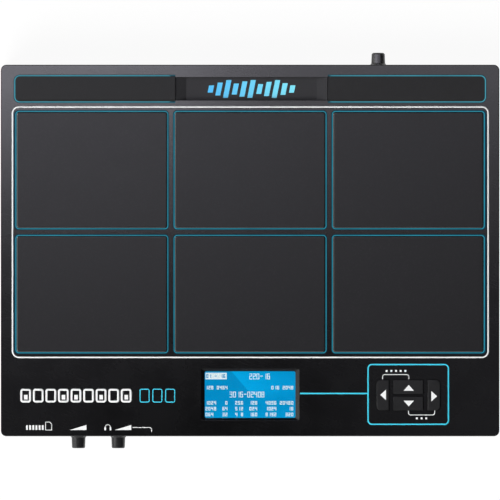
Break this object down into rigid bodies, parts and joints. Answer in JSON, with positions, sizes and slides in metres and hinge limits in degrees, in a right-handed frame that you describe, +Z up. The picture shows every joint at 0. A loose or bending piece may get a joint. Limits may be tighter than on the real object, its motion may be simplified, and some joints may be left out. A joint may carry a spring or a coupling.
{
  "type": "electronic percussion pad",
  "caption": "Tabletop electronic percussion pad: rubber pads with glowing rims, rear edge strips, lit display, push buttons, small knobs, and audio sockets in the walls.",
  "frame": {"origin": "on the table under the middle of the object", "axes": "+X to the player's right, +Y to the rear, +Z up"},
  "size_m": [0.363, 0.2886, 0.0516],
  "materials": {
    "case_top": "satin moulded ABS, dark grey",
    "case_base": "grained moulded ABS, black",
    "pad_rubber": "matt moulded rubber, charcoal",
    "strip_rubber": "matt moulded rubber, charcoal",
    "glow_guide": "translucent light guide, lit teal",
    "badge_tray": "satin moulded plastic",
    "window": "clear acrylic",
    "lcd": "lit blue display",
    "board": "green solder mask",
    "button_rubber": "matt silicone rubber",
    "knob": "soft-touch black plastic",
    "steel": "plain steel",
    "control_body": "moulded plastic",
    "socket_plastic": "black nylon",
    "socket_metal": "nickel-plated steel",
    "ribbon": "grey flat cable",
    "header": "ivory nylon",
    "foot_rubber": "black rubber",
    "brass": "turned brass",
    "screw_steel": "black zinc-plated steel",
    "deck": "moulded plastic",
    "sensor_film": "polyimide film",
    "foam": "closed-cell foam",
    "led": "light-emitting diodes"
  },
  "bodies": {
    "case": {"top_case": "case_top", "bottom_case": "case_base", "pad_light_guide": "glow_guide", "edge_light_guides": "glow_guide", "badge_plate": "badge_tray", "display_window": "window", "display_panel": "lcd", "display_board": "board", "button_board": "board", "tact_switches": "socket_metal", "potentiometers": "control_body", "main_board": "board", "front_board": "board", "ribbon_cable": "ribbon", "ribbon_headers": "header", "phones_jack": "socket_plastic", "card_slot": "socket_metal", "output_jacks": "socket_plastic", "trigger_jacks": "socket_plastic", "midi_socket": "socket_plastic", "usb_socket": "socket_metal", "dc_socket": "socket_plastic", "power_switch": "socket_plastic", "rubber_feet": "foot_rubber", "mount_inserts": "brass", "case_screws": "screw_steel", "deck_screws": "screw_steel", "board_screws": "screw_steel", "sensor_deck": "deck", "force_sensors": "sensor_film", "pad_foam": "foam", "glow_leds": "led"},
    "pad_unit_1": {"pad_1": "pad_rubber", "pad_plate_1": "steel"},
    "pad_unit_2": {"pad_2": "pad_rubber", "pad_plate_2": "steel"},
    "pad_unit_3": {"pad_3": "pad_rubber", "pad_plate_3": "steel"},
    "pad_unit_4": {"pad_4": "pad_rubber", "pad_plate_4": "steel"},
    "pad_unit_5": {"pad_5": "pad_rubber", "pad_plate_5": "steel"},
    "pad_unit_6": {"pad_6": "pad_rubber", "pad_plate_6": "steel"},
    "edge_unit_left": {"edge_pad_left": "strip_rubber", "edge_plate_left": "steel"},
    "edge_unit_right": {"edge_pad_right": "strip_rubber", "edge_plate_right": "steel"},
    "key_left": {"button_left": "button_rubber"},
    "key_right": {"button_right": "button_rubber"},
    "key_up": {"button_up": "button_rubber"},
    "key_down": {"button_down": "button_rubber"},
    "dial_main": {"knob_main": "knob", "shaft_main": "steel"},
    "dial_phones": {"knob_phones": "knob", "shaft_phones": "steel"},
    "dial_rear": {"knob_rear": "knob", "shaft_rear": "steel"},
    "power_key": {"power_button": "knob"}
  },
  "joints": [
    {"name": "pad_1_press", "type": "slide", "parent": "case", "child": "pad_unit_1", "axis": [0, 0, 1], "range_m": [-0.0008, 0], "stiffness_N_per_m": 6000, "springref_m": 0.0006, "deforming": ["pad_foam"]},
    {"name": "pad_2_press", "type": "slide", "parent": "case", "child": "pad_unit_2", "axis": [0, 0, 1], "range_m": [-0.0008, 0], "stiffness_N_per_m": 6000, "springref_m": 0.0006, "deforming": ["pad_foam"]},
    {"name": "pad_3_press", "type": "slide", "parent": "case", "child": "pad_unit_3", "axis": [0, 0, 1], "range_m": [-0.0008, 0], "stiffness_N_per_m": 6000, "springref_m": 0.0006, "deforming": ["pad_foam"]},
    {"name": "pad_4_press", "type": "slide", "parent": "case", "child": "pad_unit_4", "axis": [0, 0, 1], "range_m": [-0.0008, 0], "stiffness_N_per_m": 6000, "springref_m": 0.0006, "deforming": ["pad_foam"]},
    {"name": "pad_5_press", "type": "slide", "parent": "case", "child": "pad_unit_5", "axis": [0, 0, 1], "range_m": [-0.0008, 0], "stiffness_N_per_m": 6000, "springref_m": 0.0006, "deforming": ["pad_foam"]},
    {"name": "pad_6_press", "type": "slide", "parent": "case", "child": "pad_unit_6", "axis": [0, 0, 1], "range_m": [-0.0008, 0], "stiffness_N_per_m": 6000, "springref_m": 0.0006, "deforming": ["pad_foam"]},
    {"name": "edge_left_press", "type": "slide", "parent": "case", "child": "edge_unit_left", "axis": [0, 0, 1], "range_m": [-0.0008, 0], "stiffness_N_per_m": 6000, "springref_m": 0.0006, "deforming": ["pad_foam"]},
    {"name": "edge_right_press", "type": "slide", "parent": "case", "child": "edge_unit_right", "axis": [0, 0, 1], "range_m": [-0.0008, 0], "stiffness_N_per_m": 6000, "springref_m": 0.0006, "deforming": ["pad_foam"]},
    {"name": "button_left_press", "type": "slide", "parent": "case", "child": "key_left", "axis": [0, 0, 1], "range_m": [-0.001, 0], "stiffness_N_per_m": 600, "springref_m": 0.0006},
    {"name": "button_right_press", "type": "slide", "parent": "case", "child": "key_right", "axis": [0, 0, 1], "range_m": [-0.001, 0], "stiffness_N_per_m": 600, "springref_m": 0.0006},
    {"name": "button_up_press", "type": "slide", "parent": "case", "child": "key_up", "axis": [0, 0, 1], "range_m": [-0.001, 0], "stiffness_N_per_m": 600, "springref_m": 0.0006},
    {"name": "button_down_press", "type": "slide", "parent": "case", "child": "key_down", "axis": [0, 0, 1], "range_m": [-0.001, 0], "stiffness_N_per_m": 600, "springref_m": 0.0006},
    {"name": "knob_main_turn", "type": "hinge", "parent": "case", "child": "dial_main", "pos_m": [-0.1252, -0.13525, 0.02], "axis": [0, -1, 0], "range_deg": [-150, 150]},
    {"name": "knob_phones_turn", "type": "hinge", "parent": "case", "child": "dial_phones", "pos_m": [-0.0962, -0.13525, 0.02], "axis": [0, -1, 0], "range_deg": [-150, 150]},
    {"name": "knob_rear_turn", "type": "hinge", "parent": "case", "child": "dial_rear", "pos_m": [0.0935, 0.13525, 0.02], "axis": [0, 1, 0], "range_deg": [-150, 150]},
    {"name": "power_button_press", "type": "slide", "parent": "case", "child": "power_key", "axis": [0, 1, 0], "range_m": [-0.0025, 0], "stiffness_N_per_m": 300, "springref_m": 0.0015}
  ]
}
